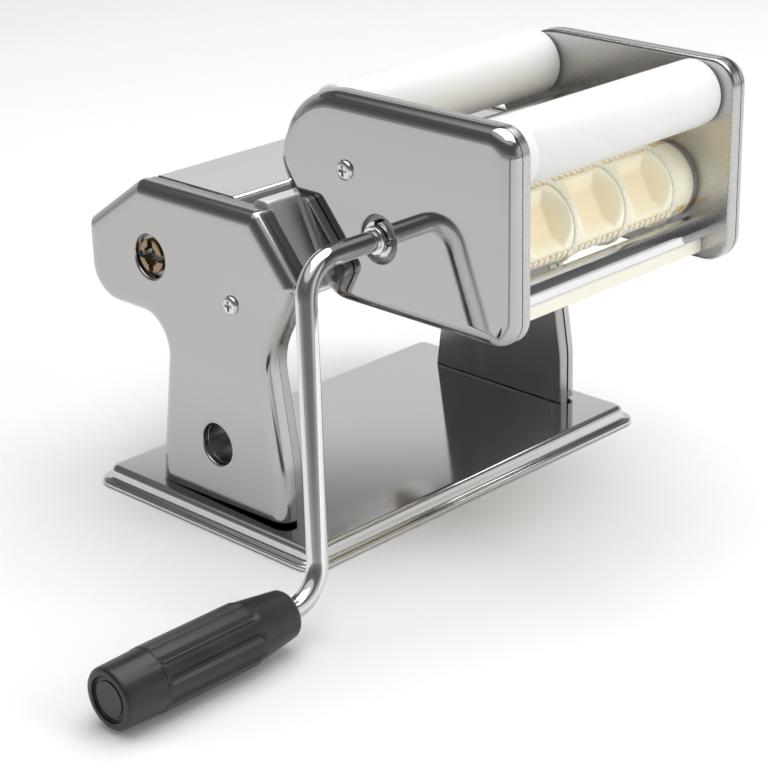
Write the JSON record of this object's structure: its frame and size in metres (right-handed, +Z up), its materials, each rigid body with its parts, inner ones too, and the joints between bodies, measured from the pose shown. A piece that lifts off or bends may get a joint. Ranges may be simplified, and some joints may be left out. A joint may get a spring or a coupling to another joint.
{
  "type": "ravioli maker with crank",
  "caption": "hand cranked pasta machine on a pressed base, with a lift-off ravioli attachment holding moulding rollers, white feed rollers and a bent crank with a turning grip",
  "frame": {"origin": "centre of the base underside, in the plane of the rubber feet", "axes": "+X toward the ravioli attachment, +Y away from the crank along the rollers, +Z up"},
  "size_m": [0.211, 0.3309, 0.1797],
  "materials": {
    "polished_steel": "mirror polished",
    "satin_steel": "satin",
    "dark_sheet": "grainy, dull",
    "chromed_rod": "bright",
    "roller_steel": "polished",
    "gear_steel": "machined",
    "zinc_screw": "zinc plated",
    "white_nylon": "matte",
    "cream_plastic": "smooth",
    "black_plastic": "semi-gloss",
    "black_rubber": "matte",
    "bronze": "dull"
  },
  "bodies": {
    "machine": {"base_plate": "polished_steel", "rubber_feet": "black_rubber", "base_screws": "zinc_screw", "crank_side_cover": "polished_steel", "knob_side_cover": "polished_steel", "crank_side_frame": "satin_steel", "knob_side_frame": "satin_steel", "clamp_sockets": "satin_steel", "tie_rods": "satin_steel", "tie_rod_nuts": "zinc_screw", "cover_screws": "zinc_screw", "top_plate": "polished_steel", "guide_panel": "satin_steel", "guide_channels": "satin_steel", "roller_bushes": "bronze", "fixed_scraper": "satin_steel", "adjuster_bearing": "satin_steel", "dial_plate": "black_plastic"},
    "fixed_roller": {"fixed_roller": "roller_steel", "fixed_roller_gear": "gear_steel"},
    "cradle": {"bearing_blocks": "bronze", "cradle_bar": "satin_steel"},
    "moving_roller": {"moving_roller": "roller_steel", "moving_roller_gear": "gear_steel"},
    "adjuster": {"adjuster_shaft": "gear_steel", "knob_spring": "gear_steel"},
    "knob": {"adjuster_knob": "black_plastic", "knob_cap": "black_plastic"},
    "attachment": {"attachment_crank_cover": "polished_steel", "attachment_far_cover": "polished_steel", "attachment_crank_plate": "dark_sheet", "attachment_far_plate": "dark_sheet", "mould_bushes": "white_nylon", "feed_axles": "satin_steel", "attachment_rod": "satin_steel", "attachment_screws": "zinc_screw", "front_comb": "cream_plastic", "rear_comb": "cream_plastic", "front_strip": "chromed_rod", "outlet_bar": "cream_plastic", "hook_plate": "satin_steel"},
    "drive_mould": {"drive_mould_roller": "cream_plastic", "drive_mould_gear": "white_nylon"},
    "driven_mould": {"driven_mould_roller": "cream_plastic", "driven_mould_gear": "white_nylon"},
    "rear_feed": {"rear_feed_roller": "white_nylon"},
    "front_feed": {"front_feed_roller": "white_nylon"},
    "crank": {"crank_rod": "chromed_rod", "grip_retainer": "zinc_screw"},
    "grip": {"crank_grip": "black_plastic", "grip_cap": "black_plastic"}
  },
  "joints": [
    {"name": "fixed_roller_spin", "type": "hinge", "parent": "machine", "child": "fixed_roller", "pos_m": [-0.033, 0, 0.1035], "axis": [0, 1, 0], "continuous": true},
    {"name": "cradle_slide", "type": "slide", "parent": "machine", "child": "cradle", "axis": [0.9703, 0, 0.2419], "range_m": [0, 0.0018]},
    {"name": "moving_roller_spin", "type": "hinge", "parent": "cradle", "child": "moving_roller", "pos_m": [-0.05629, 0, 0.09769], "axis": [0, 1, 0], "continuous": true},
    {"name": "setting_turn", "type": "hinge", "parent": "machine", "child": "adjuster", "pos_m": [-0.05541, 0, 0.09791], "axis": [0, 1, 0], "range_deg": [0, 320]},
    {"name": "knob_pull", "type": "slide", "parent": "adjuster", "child": "knob", "axis": [0, 1, 0], "range_m": [0, 0.0035], "stiffness_N_per_m": 400, "springref_m": -0.004},
    {"name": "attachment_lift", "type": "slide", "parent": "machine", "child": "attachment", "axis": [-0.4879, 0, 0.8729], "range_m": [0, 0.06]},
    {"name": "drive_mould_spin", "type": "hinge", "parent": "attachment", "child": "drive_mould", "pos_m": [0.0745, 0, 0.129], "axis": [0, 1, 0], "continuous": true},
    {"name": "driven_mould_spin", "type": "hinge", "parent": "attachment", "child": "driven_mould", "pos_m": [0.1075, 0, 0.129], "axis": [0, 1, 0], "continuous": true},
    {"name": "rear_feed_spin", "type": "hinge", "parent": "attachment", "child": "rear_feed", "pos_m": [0.042, 0, 0.166], "axis": [0, 1, 0], "continuous": true},
    {"name": "front_feed_spin", "type": "hinge", "parent": "attachment", "child": "front_feed", "pos_m": [0.121, 0, 0.166], "axis": [0, 1, 0], "continuous": true},
    {"name": "crank_pull", "type": "slide", "parent": "drive_mould", "child": "crank", "axis": [0, -1, 0], "range_m": [0, 0.03]},
    {"name": "grip_spin", "type": "hinge", "parent": "crank", "child": "grip", "pos_m": [0.0965, -0.18, 0.0128], "axis": [0, 1, 0], "continuous": true}
  ],
  "couplings": [
    {"joint": "moving_roller_spin", "follows": "fixed_roller_spin", "ratio": -1},
    {"joint": "setting_turn", "follows": "cradle_slide", "rad_per_m": 3102.8},
    {"joint": "driven_mould_spin", "follows": "drive_mould_spin", "ratio": -1}
  ]
}
